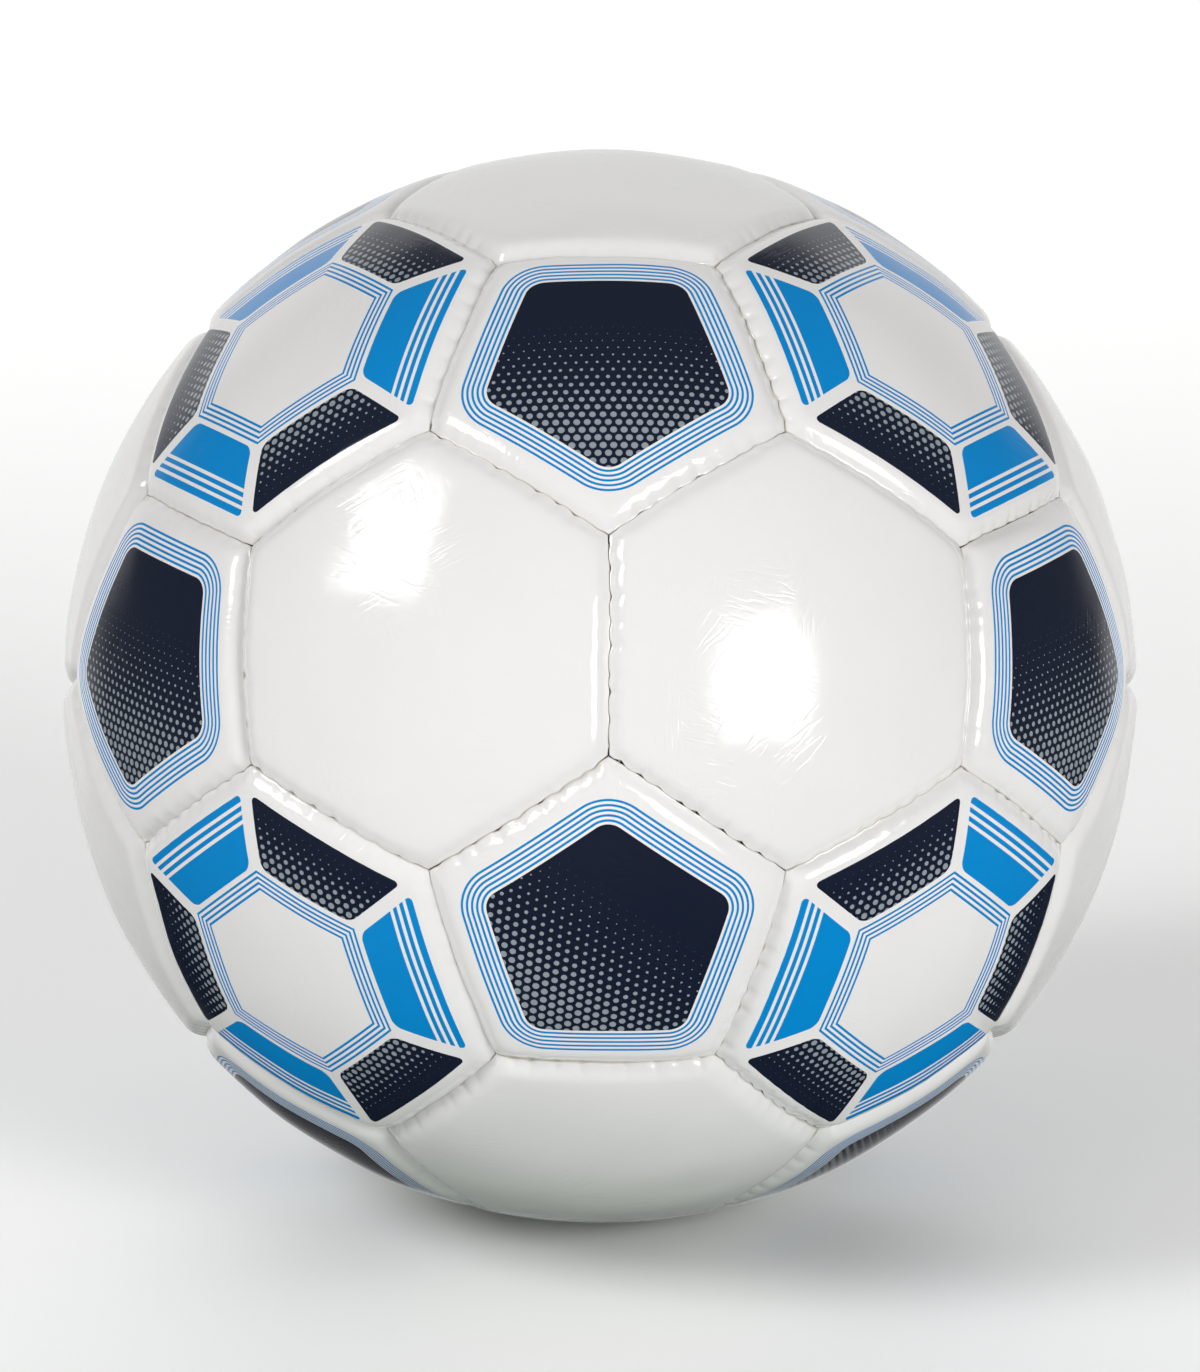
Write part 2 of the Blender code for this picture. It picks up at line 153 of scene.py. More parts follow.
# Rows of the panels' meshes: distance from the seam, with the steps on each side of the outline
RIM_INSETS = [inset * MM for inset in (0, 0.05, 0.13, 0.25, 0.4, 0.6, 0.85, 1.15, 1.5, 1.9, 2.4, 3.0)]
SHOULDER_INSETS = [inset * MM for inset in (3.7, 4.5, 5.5, 6.8)]
RIM_STEPS = 96
SHOULDER_STEPS = 48
FACE_STEPS = 24
FACE_PITCH = 2.6 * MM
LINING_STEPS = 12
LINING_ROWS = 4
CENTRE_RADIUS = 2.5 * MM
ROUND_ROWS = (0.45, 0.15)  # share of the panel's size where its rows begin and end to turn round
VALVE_HOLE_RADIUS = 4.8 * MM
BAKE_FACE = (0.5, 0.45)  # middle and half size of a panel's face, laid flat
BAKE_LINING = (0.065, 0.06)
TURNED_STEPS = 64
PELLET_SUBDIVISIONS = 4
SHARP_ANGLE = math.radians(30)
BEVEL_SEGMENTS = 2
VALVE_BEVEL = 0.25 * MM
THIN_BEVEL = 0.15 * MM
PATCH_BEVEL = 0.1 * MM
WELD = 0.01 * MM

# Sides of the panels, and the products of unit axes above which they belong together
HEXAGON, PENTAGON = 6, 5
NEIGHBOURS_OVER = 0.4  # two pentagons with a seam between their corners
BESIDE_OVER = 0.9  # a pentagon and the middle of one of its edges
SAME_OVER = 0.99  # a panel and what lies behind it
LEVEL_EDGES = 0.01  # weight of X where two edges are equally high
AXIS_STEPS = 1000  # make a seed of whole numbers from an axis

# Print, in millimetres
DOT_ROW = 1.7
DOT_STEP = 2.0
DOT_RADIUS = 0.68
PENTAGON_APOTHEM = 20.5
PENTAGON_CORNER = 4.0
DOTTED = (-0.9, 0.6)  # where the pentagon's dots are full and gone, as shares of its apothem
PINSTRIPE_PITCH = 1.05
PINSTRIPE_WIDTH = 0.5
PENTAGON_PINSTRIPES = 5
RING_PINSTRIPES = 4
RING_INNER = 21.5
RING_OUTER = 35.5
RING_GAP = 3.0
RING_CORNER = 1.5
STRIPE_START = 1.6
STRIPE_PITCH = 1.7
STRIPE_WIDTH = 0.75
STRIPES = 3

# Creases in the gloss: lean on the panel, pitch, length, size of the patches that they lie in, and depth
CREASES = (
    (math.radians(-30), 1.7 * MM, 14 * MM, 14 * MM, 0.017 * MM),
    (math.radians(48), 1.5 * MM, 9 * MM, 12 * MM, 0.015 * MM),
    (math.radians(-75), 2.2 * MM, 12 * MM, 17 * MM, 0.018 * MM),
)
CREASE_WIDTH = 0.075  # in the noise that they follow
CREASE_PATCHES = (0.54, 0.66)  # where in another noise a patch begins and is full
PANEL_NUMBERS = (1.7, 2.3, 3.1)  # turn a panel's axis into a number of its own

# Gloss coat: waves to the metre and their height, and its range of roughness
COAT_WAVES, COAT_WAVE_HEIGHT = 120.0, 0.05 * MM
COAT_GRAIN, COAT_GRAIN_HEIGHT = 900.0, 0.004 * MM
COAT_ROUGHNESS = (0.08, 0.13)
COAT_IOR = 1.53

# Colours
WHITE = (0.765, 0.758, 0.744)
SEAM_SHADE = (0.54, 0.48, 0.38)  # the panels' edges, down in the seams: partly their own warm grey, partly painted shade of the crevice
NAVY = (0.0080, 0.0125, 0.0275)
BLUE = (0.0010, 0.2250, 0.5700)
GREY = (0.2500, 0.2880, 0.3150)
WHITE_SHADE = 0.975  # share of the white where it is darkest
THREAD_LIGHT, THREAD_DARK = (0.60, 0.58, 0.53), (0.42, 0.40, 0.36)
VALVE_RUBBER = (0.016, 0.016, 0.018)
CORE_RUBBER = (0.045, 0.045, 0.05)
BLADDER_RUBBER = (0.026, 0.026, 0.028)
RUBBER_BLOOM = 2.2
TIN, TIN_ROUGHNESS = (0.60, 0.60, 0.58), 0.34
STEEL, STEEL_ROUGHNESS = (0.56, 0.57, 0.58), 0.16
STAIN = 0.8
PATCH_CLOTH = (0.50, 0.48, 0.43)
POCKET_CLOTH = (0.70, 0.68, 0.62)
# share of the cloth's colour in the weave's hollows: painted shade
CLOTH_HOLLOW_SHADE = 0.8
WEAVE_PITCH = 0.6 * MM


def unit(vectors):
    """Vectors scaled to length one."""
    return vectors / np.linalg.norm(vectors, axis=-1, keepdims=True)


def smooth(value):
    """A soft step from 0 to 1."""
    value = np.clip(value, 0, 1)
    return value * value * (3 - 2 * value)


def node_points(name):
    """The corners of a CAD node's mesh, each once."""
    mesh = NODES[name].data
    flat = np.empty(3 * len(mesh.vertices), np.float32)
    mesh.vertices.foreach_get("co", flat)
    return np.unique(flat.reshape(-1, 3), axis=0).astype(float)


# The ball's middle, radius and panel axes, read from the frame
PENT_NODES = sorted(name for name in NODES if name.startswith("pent_panel"))
HEX_NODES = sorted(name for name in NODES if name.startswith("hex_panel"))
PENT_MIDDLES = np.array([node_points(name).mean(0) for name in PENT_NODES])
CENTRE = PENT_MIDDLES.mean(0)
RADIUS = np.linalg.norm(node_points(PENT_NODES[0]) - CENTRE, axis=1).max()
PENT_AXES = unit(PENT_MIDDLES - CENTRE)
NEIGHBOURS = PENT_AXES @ PENT_AXES.T > NEIGHBOURS_OVER
TRIPLES = [
    trio
    for trio in itertools.combinations(range(len(PENT_AXES)), 3)
    if all(NEIGHBOURS[a, b] for a, b in itertools.combinations(trio, 2))
]
HEX_AXES = unit(np.array([PENT_AXES[list(trio)].sum(0) for trio in TRIPLES]))
PAIRS = [pair for pair in itertools.permutations(range(len(PENT_AXES)), 2) if NEIGHBOURS[pair]]
CORNERS = unit(np.array([2 * PENT_AXES[near] + PENT_AXES[far] for near, far in PAIRS]))


class Seam:
    """The line where two panels are sewn together, from one corner to the next."""

    def __init__(self, start, end, rng):
        self.middle = unit(start + end)
        self.direction = unit(end - start)
        self.left = unit(np.cross(start, end))
        self.half_angle = math.atan2(end @ self.direction, end @ self.middle)
        self.length = 2 * self.half_angle * RADIUS
        jitter = np.clip(rng.normal(0, STITCH_JITTER, STITCHES), -JITTER_LIMIT, JITTER_LIMIT)
        self.stitches = (np.arange(STITCHES) + 0.5) / STITCHES + jitter
        self.pull = rng.uniform(*PULL_RANGE, STITCHES)
        self.opening = rng.uniform(0, 1) * np.clip(rng.normal(*SLIT_SPREAD, STITCHES), 0, SLIT_LIMIT)
        self.lean = rng.choice((-1, 1)) * rng.uniform(*LEAN_RANGE)
        self.bumps = rng.uniform(*BUMP_RANGE, STITCHES)
        self.swells = rng.uniform(*SEAM_SWELL_RANGE) * rng.uniform(*SWELL_RANGE, STITCHES + 1)
        self.step = rng.uniform(-1, 1)
        self.shade = rng.uniform(*SHADE_RANGE)
        self.drift = rng.uniform(0, math.tau, WANDER_WAVES)

    def place(self, points):
        """How far along the seam unit vectors lie, from 0 at its start to 1 at its end."""
        angle = np.arctan2(points @ self.direction, points @ self.middle)
        return 0.5 + angle / (2 * self.half_angle)

    def point(self, place, shift, radius):
        """A point beside the seam, shifted to its left along the ball, at a radius."""
        angle = (2 * place - 1) * self.half_angle
        on_line = math.cos(angle) * self.middle + math.sin(angle) * self.direction
        return CENTRE + radius * unit(on_line + shift / RADIUS * self.left)

    def phase(self, place):
        """Counts stitches along the seam: a whole number at each of them."""
        knots = np.concatenate(([0], self.stitches, [1]))
        counts = np.concatenate(([-0.5], np.arange(STITCHES), [STITCHES - 0.5]))
        return np.interp(place, knots, counts)

    def near_stitches(self, place, strength, length):
        """A bump of this strength at every stitch."""
        away = (np.clip(place, 0, 1)[:, None] - self.stitches) * self.length
        return (strength * np.exp(-((away / length) ** 2))).sum(1)

    def inside(self, place):
        """Fades to nothing at the two corners."""
        return smooth(np.minimum(place, 1 - place) * self.length / CORNER_FADE)

    def line(self, place):
        """How far the seam line leaves the straight one, to its left."""
        drawn = self.near_stitches(place, BUMP * self.lean * self.bumps, BUMP_LENGTH)
        drift = sum(
            WANDER / (wave + 1) * np.sin(math.tau * (wave + 1) * place + turn)
            for wave, turn in enumerate(self.drift)
        )
        return (drawn + drift) * self.inside(place)

    def half_gap(self, place):
        """Half the opening between the two edges: slits at the stitches, a small hole at the corners."""
        slits = self.near_stitches(place, SLIT_HALF_GAP * self.opening, SLIT_HALF_LENGTH)
        to_corner = np.clip(np.minimum(place, 1 - place), 0, 1) * self.length
        return SEAM_HALF_GAP + slits + CORNER_HALF_GAP * np.exp(-((to_corner / CORNER_HALF_LENGTH) ** 2))

    def relief(self, place, away):
        """How far the face is pulled down beside this seam, less how far it swells between stitches."""
        dimples = self.near_stitches(place, DIMPLE_DEPTH * self.pull, DIMPLE_LENGTH)
        phase = self.phase(place)
        swell = self.swells[np.clip(np.floor(phase).astype(int) + 1, 0, STITCHES)]
        ridge = PUCKER * swell * -np.cos(math.tau * phase) * self.inside(place)
        reach = away / PUCKER_REACH
        return dimples * np.exp(-((away / DIMPLE_WIDTH) ** 2)) - ridge * reach * np.exp(1 - reach)


class Edge:
    """One side of a panel: the seam that it lies on and the side of the seam that the panel is on."""

    def __init__(self, seam, start, end):
        self.seam = seam
        self.inward = unit(np.cross(start, end))
        self.side = 1 if self.inward @ seam.left > 0 else -1


class Panel:
    """One panel's node, axis, corners in order and edges, with X towards the middle of its first edge.

    The first edge is the highest one, and on a hexagon the highest that it shares with a pentagon.
    """

    def __init__(self, node, axis, sides):
        self.node, self.axis, self.sides = node, axis, sides
        picked = np.argsort(CORNERS @ axis)[-sides:]
        across = unit(np.cross(axis, CORNERS[picked[0]]))
        turns = np.arctan2(CORNERS[picked] @ across, CORNERS[picked] @ np.cross(across, axis))
        ring = picked[np.argsort(turns)]
        heights = []
        for first, second in zip(ring, np.roll(ring, -1)):
            middle = unit(CORNERS[first] + CORNERS[second])
            fit = sides == PENTAGON or (PENT_AXES @ middle).max() > BESIDE_OVER
            heights.append(middle[2] + LEVEL_EDGES * middle[0] if fit else -math.inf)
        ring = np.roll(ring, -int(np.argmax(heights)))
        self.ring = ring
        self.edges = []
        middle = unit(CORNERS[ring[0]] + CORNERS[ring[1]])
        x = unit(middle - axis * (middle @ axis))
        self.turn = np.array((x, np.cross(axis, x), axis)).T

    def sew(self, seams):
        """Finds the panel's seams, making those that aren't there yet."""
        for first, second in zip(self.ring, np.roll(self.ring, -1)):
            key = (min(first, second), max(first, second))
            if key not in seams:
                rng = np.random.default_rng((SEED, *key))
                seams[key] = Seam(CORNERS[key[0]], CORNERS[key[1]], rng)
            self.edges.append(Edge(seams[key], CORNERS[first], CORNERS[second]))


def edge_angle(sides):
    """The angle at the ball's middle from a panel's axis to the middle of its edge."""
    axis = HEX_AXES[0] if sides == HEXAGON else PENT_AXES[0]
    corner = math.acos((CORNERS @ axis).max())
    return math.atan(math.tan(corner) * math.cos(math.pi / sides))


def soft_least(distances, rounding):
    """The least of several distances, rounded where two are alike."""
    least = distances[0]
    for other in distances[1:]:
        share = np.clip(0.5 + 0.5 * (other - least) / rounding, 0, 1)
        least = other + (least - other) * share - rounding * share * (1 - share)
    return least


def roll(distance):
    """The share of the seam's depth that a panel has rolled down at a distance from the seam."""
    eased = np.hypot(distance, SEAM_ROUNDING)
    return (1 - np.clip(eased / SHOULDER_WIDTH, 0, 1)) ** SHOULDER_POWER


def undulation(panel, plane):
    """Slow unevenness of a panel's face over points on its plane."""
    rng = np.random.default_rng((SEED, *np.round(AXIS_STEPS * (panel.axis + 1)).astype(int)))
    height = np.zeros(len(plane))
    for _ in range(UNDULATION_WAVES):
        length = rng.uniform(*UNDULATION_LENGTHS)
        heading, turn = rng.uniform(0, math.tau, 2)
        way = plane @ np.array((math.cos(heading), math.sin(heading)))
        height += UNDULATION * length / UNDULATION_LENGTHS[1] * np.sin(math.tau * way / length + turn)
    return height


def seam_shift(panel, points):
    """How far the seams beside a panel push its points along the ball."""
    shift = np.zeros_like(points)
    for edge in panel.edges:
        away = RADIUS * np.arcsin(np.clip(points @ edge.inward, 0, 1))
        place = edge.seam.place(points)
        push = edge.side * edge.seam.line(place) + edge.seam.half_gap(place)
        shift += (push * (1 - smooth(away / SHIFT_REACH)))[:, None] * edge.inward
    return shift / RADIUS


def face_radius(panel, points, plane):
    """The radius of a panel's outer face at unit vectors on it."""
    distances = []
    relief = np.zeros(len(points))
    for edge in panel.edges:
        away = RADIUS * np.arcsin(np.clip(points @ edge.inward, 0, 1))
        place = edge.seam.place(points)
        relief += edge.seam.relief(place, away)
        relief += STEP * edge.side * edge.seam.step * edge.seam.inside(place) * np.exp(-away / STEP_REACH)
        distances.append(away)
    near = soft_least(distances, CORNER_ROUNDING)
    pit = np.clip(-near, 0, None)
    return RADIUS - SEAM_DEPTH * roll(near) - pit - relief + undulation(panel, plane)


class Rows:
    """The rows of points that a panel's mesh is made of, from the middle of its face to its lining."""

    def __init__(self, sides, hole):
        self.sides, self.hole = sides, hole
        self.flat = edge_angle(sides)
        apothem = RADIUS * self.flat
        self.inset, self.scale, self.steps, self.part = [], [], [], []
        least = VALVE_HOLE_RADIUS if hole else CENTRE_RADIUS
        first_face = SHOULDER_INSETS[-1] + FACE_PITCH / 2
        count = round((apothem - least - first_face) / FACE_PITCH)
        for inset in np.linspace(apothem - least, first_face, count):
            self.add(inset, FACE_STEPS, "face")
        for inset in reversed(SHOULDER_INSETS):
            self.add(inset, SHOULDER_STEPS, "face")
        for inset in reversed(RIM_INSETS):
            self.add(inset, RIM_STEPS, "face")
        self.add(0, RIM_STEPS, "slit")
        self.add(FLANGE_GAP, SHOULDER_STEPS, "wall")
        self.add(FLANGE_GAP, FACE_STEPS, "tip")
        inner = FLANGE_GAP + FLANGE_THICKNESS
        self.add(inner, FACE_STEPS, "tip")
        for inset in np.linspace(inner, apothem - least, LINING_ROWS):
            self.add(inset, LINING_STEPS, "lining")
        self.build_faces()

    def add(self, inset, steps, part):
        """Adds one row at a distance from the seam."""
        self.inset.append(inset)
        self.scale.append(math.tan(self.flat - inset / RADIUS) / math.tan(self.flat))
        self.steps.append(steps)
        self.part.append(part)

    def plane_points(self):
        """The rows' points on the plane that touches the ball at the panel's axis, at unit distance."""
        reach = math.tan(self.flat) / math.cos(math.pi / self.sides)
        turns = math.tau * (np.arange(self.sides + 1) - 0.5) / self.sides
        corners = reach * np.stack((np.cos(turns), np.sin(turns)), 1)
        found = []
        for scale, steps in zip(self.scale, self.steps):
            share = (np.arange(steps) / steps)[None, :, None]
            ring = corners[:-1, None] * (1 - share) + corners[1:, None] * share
            ring = scale * ring.reshape(-1, 2)
            circle = unit(ring) * scale * math.tan(self.flat)
            begin, end = ROUND_ROWS
            found.append(ring + (circle - ring) * smooth((begin - scale) / (begin - end)))
        return np.concatenate(found)

    def build_faces(self):
        """Faces between the rows, with the side of the panel that each lies on."""
        starts = np.cumsum([0] + [steps * self.sides for steps in self.steps])
        self.count = starts[-1]
        self.faces, self.face_side, self.face_part = [], [], []
        pairs = list(zip(range(len(self.steps)), range(1, len(self.steps))))
        if self.hole:
            pairs.append((len(self.steps) - 1, 0))
        for upper, lower in pairs:
            self.band(upper, lower, starts)
        if not self.hole:
            self.fan(0, starts, self.count, 1)
            self.fan(len(self.steps) - 1, starts, self.count + 1, -1)

    def note(self, corners, side, part):
        """Keeps one face."""
        self.faces.append(corners)
        self.face_side.append(side)
        self.face_part.append(part)

    def band(self, upper, lower, starts):
        """Joins two rows whose steps are equal, or where one has twice the steps of the other."""
        many_up, many_low = self.steps[upper], self.steps[lower]

        def up(side, step):
            return starts[upper] + (side * many_up + step) % (many_up * self.sides)

        def low(side, step):
            return starts[lower] + (side * many_low + step) % (many_low * self.sides)

        for side in range(self.sides):
            for step in range(min(many_up, many_low)):
                if many_up == many_low:
                    made = [(up(side, step), low(side, step), low(side, step + 1), up(side, step + 1))]
                elif many_low > many_up:
                    first, middle, last = (low(side, 2 * step + extra) for extra in range(3))
                    start, end = up(side, step), up(side, step + 1)
                    made = [(start, first, middle), (start, middle, end), (end, middle, last)]
                else:
                    first, middle, last = (up(side, 2 * step + extra) for extra in range(3))
                    start, end = low(side, step), low(side, step + 1)
                    made = [(first, start, middle), (middle, start, end), (middle, end, last)]
                for corners in made:
                    self.note(corners, side, self.part[lower])

    def fan(self, row, starts, middle, turn):
        """Closes the innermost row with triangles about a middle point."""
        total = self.steps[row] * self.sides
        for step in range(total):
            pair = (starts[row] + step, starts[row] + (step + 1) % total)
            self.note((middle, *pair[::turn]), step // self.steps[row], self.part[row])


def seat_level(panel):
    """The level of the flat seat in the middle of a panel's lining, from its CAD node."""
    points = node_points(panel.node) - CENTRE
    levels = points @ panel.axis
    off_axis = np.linalg.norm(points - levels[:, None] * panel.axis, axis=1)
    return levels[off_axis < SEAT_REACH].min()


def panel_points(panel, rows):
    """The points of one panel's mesh, and their places on the panel's plane in metres."""
    plane = rows.plane_points()
    row_part = np.repeat(rows.part, np.array(rows.steps) * rows.sides)
    local = unit(np.concatenate((plane, np.ones((len(plane), 1))), 1))
    points = local @ panel.turn.T
    radius = np.full(len(points), RADIUS - FLANGE_TIP_DEPTH)
    face = row_part == "face"
    slit = row_part == "slit"
    lining = row_part == "lining"
    radius[face] = face_radius(panel, points[face], plane[face] * RADIUS)
    radius[slit] = RADIUS - SEAM_DEPTH - SLIT_DEPTH
    radius[row_part == "wall"] = RADIUS - SEAM_DEPTH - WALL_DEPTH
    radius[lining] = RADIUS - PANEL_THICKNESS
    seat = seat_level(panel)
    radius[lining] = np.minimum(radius[lining], seat / (points[lining] @ panel.axis))
    shifted = face | slit
    points[shifted] = unit(points[shifted] + seam_shift(panel, points[shifted]))
    placed = CENTRE + points * radius[:, None]
    if not rows.hole:
        top = RADIUS + undulation(panel, np.zeros((1, 2)))[0]
        placed = np.concatenate((placed, [CENTRE + top * panel.axis, CENTRE + seat * panel.axis]))
        plane = np.concatenate((plane, np.zeros((2, 2))))
    placed[:, 2] = np.maximum(placed[:, 2], CAD_BOX[0].z)
    return placed, plane * RADIUS


def add_seam_shade(mesh, panel, rows):
    """How strongly a panel's edge is painted with the seams' shade, partly its own warm grey; 0 on its
    face.
    """
    depth = []
    for part, inset, steps in zip(rows.part, rows.inset, rows.steps):
        share = 1 - smooth(inset / SEAM_SHADE_WIDTH) if part == "face" else 1
        for edge in panel.edges:
            depth += [share * edge.seam.shade] * steps
    depth += [0] * (len(mesh.vertices) - len(depth))
    layer = mesh.attributes.new("SeamDepth", "FLOAT", "POINT")
    layer.data.foreach_set("value", np.array(depth, np.float32))


def add_flat_place(mesh, panel, plane):
    """FlatPlace holds places on the panel in metres, with a third number of the panel's own."""
    own = np.full(len(plane), panel.axis @ PANEL_NUMBERS)
    layer = mesh.attributes.new("FlatPlace", "FLOAT_VECTOR", "POINT")
    layer.data.foreach_set("vector", np.column_stack((plane, own)).astype(np.float32).ravel())


def mesh_object(name, points, faces):
    """A smooth mesh object in the scene."""
    mesh = bpy.data.meshes.new(name)
    mesh.from_pydata([tuple(point) for point in points], [], faces)
    mesh.shade_smooth()
    made = bpy.data.objects.new(name, mesh)
    bpy.context.scene.collection.objects.link(made)
    return made


def add_map(mesh, name, values):
    """A UV map from one pair of numbers for each face corner."""
    layer = mesh.uv_layers.new(name=name)
    layer.uv.foreach_set("vector", np.ascontiguousarray(values, np.float32).ravel())


def add_panel_maps(mesh, rows, plane):
    """PanelMap holds millimetres out from the panel's middle and along the nearest side, PlaneMap those
    across the whole panel, and OFBake the panel laid flat. PanelSide tells every other side apart.
    """
    corner_count = [len(face) for face in rows.faces]
    verts = np.concatenate([np.array(face) for face in rows.faces])
    side = np.repeat(rows.face_side, corner_count)
    part = np.repeat(rows.face_part, corner_count)
    turn = math.tau * side / rows.sides
    at = plane[verts] / MM
    out = at[:, 0] * np.cos(turn) + at[:, 1] * np.sin(turn)
    along = at[:, 1] * np.cos(turn) - at[:, 0] * np.sin(turn)
    add_map(mesh, "PanelMap", np.stack((out, along), 1))
    add_map(mesh, "PlaneMap", at)
    layer = mesh.attributes.new("PanelSide", "FLOAT", "FACE")
    layer.data.foreach_set("value", np.array(rows.face_side, np.float32) % 2)
    reach = math.tan(rows.flat) / math.cos(math.pi / rows.sides) * RADIUS / MM
    outer = np.isin(part, ("face", "slit", "wall"))[:, None]
    middle, spread = (np.where(outer, *pair) for pair in zip(BAKE_FACE, BAKE_LINING))
    add_map(mesh, "OFBake", middle + at / reach * spread)


def build_panels(finishes):
    """The 32 panels, each standing for its node."""
    valve_axis = unit(node_points("valve_body").mean(0) - CENTRE)
    panels = []
    for node, axis in zip(PENT_NODES, PENT_AXES):
        panels.append(Panel(node, axis, PENTAGON))
    for node in HEX_NODES:
        axis = HEX_AXES[np.argmax(HEX_AXES @ (node_points(node).mean(0) - CENTRE))]
        panels.append(Panel(node, axis, HEXAGON))
    seams = {}
    for panel in panels:
        panel.sew(seams)
    kinds = {kind: Rows(*kind) for kind in ((PENTAGON, False), (HEXAGON, False), (HEXAGON, True))}
    for panel in panels:
        rows = kinds[panel.sides, bool(panel.axis @ valve_axis > SAME_OVER)]
        points, plane = panel_points(panel, rows)
        made = mesh_object(f"cover_{panel.node}", points, rows.faces)
        add_panel_maps(made.data, rows, plane)
        add_seam_shade(made.data, panel, rows)
        add_flat_place(made.data, panel, plane)
        if panel.sides == PENTAGON:
            kind = "pentagon"
        else:
            kind = "ring" if carries_ring(panel.axis) else "plain"
        made.data.materials.append(finishes[kind])
        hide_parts(panel.node)
        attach(made, "ball")
    return seams


def carries_ring(axis):
    """The hexagons over the valve and the capsules, and the one opposite the valve, carry a ring."""
    names = ["valve_body"] + [name for name in NODES if name.startswith("capsule_can")]
    over = [unit(node_points(name).mean(0) - CENTRE) for name in names]
    return any(abs(axis @ other) > SAME_OVER for other in over)


def build_thread(seams, finish):
    """The sewing thread: two strands on each seam that pass through both edges at every stitch."""
    curve = bpy.data.curves.new("seam_thread", "CURVE")
    curve.dimensions = "3D"
    curve.bevel_depth = THREAD_DIAMETER / 2
    curve.bevel_resolution = 1
    curve.use_fill_caps = True
    reach = FLANGE_GAP + FLANGE_THICKNESS
    for seam, strand in itertools.product(seams.values(), (1, -1)):
        depth = RADIUS - THREAD_DEPTH + strand * THREAD_DIAMETER / 2
        path = []
        for number, place in enumerate(seam.stitches):
            side = strand * (1 if number % 2 else -1)
            line = seam.line(np.array([place]))[0]
            path += [seam.point(place, line + way * side * reach, depth) for way in (-1, 0, 1)]
        spline = curve.splines.new("POLY")
        spline.points.add(len(path) - 1)
        for point, at in zip(spline.points, path):
            point.co = (*at, 1)
    made = bpy.data.objects.new("seam_thread", curve)
    bpy.context.scene.collection.objects.link(made)
    curve.materials.append(finish)
    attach(made, "ball")


def turned_profile(name, axis):
    """The outline that a turned CAD node was made from: radius and level in order, from its mesh."""
    mesh = NODES[name].data
    flat = np.empty(3 * len(mesh.vertices), np.float32)
    mesh.vertices.foreach_get("co", flat)
    points, same = np.unique(np.round(flat.reshape(-1, 3), 6), axis=0, return_inverse=True)
    same = same.ravel()
    rest = points - CENTRE
    levels = rest @ axis
    spokes = rest - levels[:, None] * axis
    radii = np.linalg.norm(spokes, axis=1)
    first = spokes[np.argmax(radii)] / radii.max()
    kept = spokes @ first > radii - WELD
    links = {}
    for edge in mesh.edges:
        start, end = same[edge.vertices[0]], same[edge.vertices[1]]
        if kept[start] and kept[end] and start != end:
            links.setdefault(start, set()).add(end)
            links.setdefault(end, set()).add(start)
    ends = sorted(point for point in links if len(links[point]) == 1)
    chain = [ends[0] if ends else min(links)]
    while True:
        onward = sorted(point for point in links[chain[-1]] if point not in chain)
        if not onward:
            break
        chain.append(onward[0])
    profile = [(radii[point], levels[point]) for point in chain]
    if ends and profile[0][0] > WELD:
        profile.insert(0, (0, profile[0][1]))
    if ends and profile[-1][0] > WELD:
        profile.append((0, profile[-1][1]))
    return np.array(profile), not ends, first


def build_turned(name, finish, bevel):
    """A turned piece, finer than its CAD node and with rounded edges."""
    middle = node_points(name).mean(0) - CENTRE
    axes = np.concatenate((HEX_AXES, PENT_AXES))
    axis = axes[np.argmax(axes @ middle)]
    profile, closed, first = turned_profile(name, axis)
    turns = math.tau * np.arange(TURNED_STEPS) / TURNED_STEPS
    spokes = np.outer(np.cos(turns), first) + np.outer(np.sin(turns), np.cross(axis, first))
    points, rings = [], []
    for radius, level in profile:
        count = TURNED_STEPS if radius > WELD else 1
        rings.append(len(points) + np.arange(count))
        points += list(CENTRE + level * axis + radius * spokes[:count])
    faces = []
    for upper, lower in zip(rings, rings[1:] + rings[:1] if closed else rings[1:]):
        for step in range(TURNED_STEPS):
            corners = [upper[step % len(upper)], upper[(step + 1) % len(upper)]]
            corners += [lower[(step + 1) % len(lower)], lower[step % len(lower)]]
            faces.append(tuple(dict.fromkeys(int(corner) for corner in corners)))
    made = mesh_object(f"fine_{name}", points, faces)
    outward(made.data)
    made.data.set_sharp_from_angle(angle=SHARP_ANGLE)
    rounding = made.modifiers.new("rounding", "BEVEL")
    rounding.width = bevel
    rounding.segments = BEVEL_SEGMENTS
    rounding.limit_method = "ANGLE"
    rounding.angle_limit = SHARP_ANGLE
    made.data.materials.append(finish)
    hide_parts(name)
    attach(made, "ball")


def outward(mesh):
    """Turns a closed mesh's faces out."""
    work = bmesh.new()
    work.from_mesh(mesh)
    bmesh.ops.recalc_face_normals(work, faces=work.faces)
    work.to_mesh(mesh)
    work.free()


def build_inside():
    """The valve, the capsules with their pockets and pellets, and the bladder."""
    build_turned("valve_body", rubber_finish("valve_rubber", VALVE_RUBBER), VALVE_BEVEL)
    build_turned("valve_core", rubber_finish("core_rubber", CORE_RUBBER), THIN_BEVEL)
    build_turned("valve_patch", cloth_finish("patch_fabric", PATCH_CLOTH), PATCH_BEVEL)
    tin = metal_finish("tinplate", TIN, TIN_ROUGHNESS)
    steel = metal_finish("pellet_steel", STEEL, STEEL_ROUGHNESS)
    pocket = cloth_finish("pocket_fabric", POCKET_CLOTH)
    for name in sorted(NODES):
        if name.startswith(("capsule_can", "capsule_lid")):
            build_turned(name, tin, THIN_BEVEL)
        elif name.startswith("capsule_pocket"):
            build_turned(name, pocket, THIN_BEVEL)
        elif name.startswith("capsule_pellet"):
            build_pellet(name, steel)
    build_bladder(rubber_finish("bladder_rubber", BLADDER_RUBBER))


